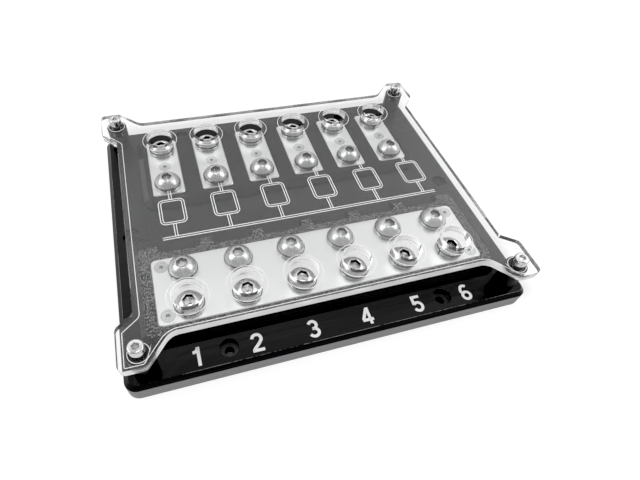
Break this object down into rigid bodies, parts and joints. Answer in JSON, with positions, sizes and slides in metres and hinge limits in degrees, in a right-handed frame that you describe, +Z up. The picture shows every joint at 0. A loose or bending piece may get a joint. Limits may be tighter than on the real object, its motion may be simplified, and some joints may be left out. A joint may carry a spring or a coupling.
{
  "type": "fuse block",
  "caption": "Flat fuse distribution block: black milled base with an inlaid bus bar and output plates, domed terminal bolts, and a clear eared cover on corner standoffs.",
  "frame": {"origin": "centre of the base's underside", "axes": "+Z up from the mounting surface, +X along the row of circuits, +Y from the bus bar towards the output plates"},
  "size_m": [0.2076, 0.171, 0.0314],
  "materials": {
    "black_base": "milled, semi-gloss floor and pebbled islands",
    "bar": "satin",
    "steel": "bright stainless",
    "black_standoff": "turned, semi-gloss",
    "clear_cover": "clear polished sheet with frosted machined edges"
  },
  "bodies": {
    "root": {"base": "black_base", "bus_bar": "bar", "output_plate_1": "bar", "output_plate_2": "bar", "output_plate_3": "bar", "output_plate_4": "bar", "output_plate_5": "bar", "output_plate_6": "bar", "bus_bar_screws": "steel", "plate_screws": "steel", "bus_fuse_lock_washers": "steel", "bus_wire_lock_washers": "steel", "plate_fuse_lock_washers": "steel", "plate_wire_lock_washers": "steel", "bus_fuse_bolts": "steel", "bus_wire_bolts": "steel", "plate_fuse_bolts": "steel", "plate_wire_bolts": "steel", "standoff_front_left": "black_standoff", "standoff_front_right": "black_standoff", "standoff_rear_left": "black_standoff", "standoff_rear_right": "black_standoff", "cover": "clear_cover", "cover_screws": "steel"}
  },
  "joints": []
}
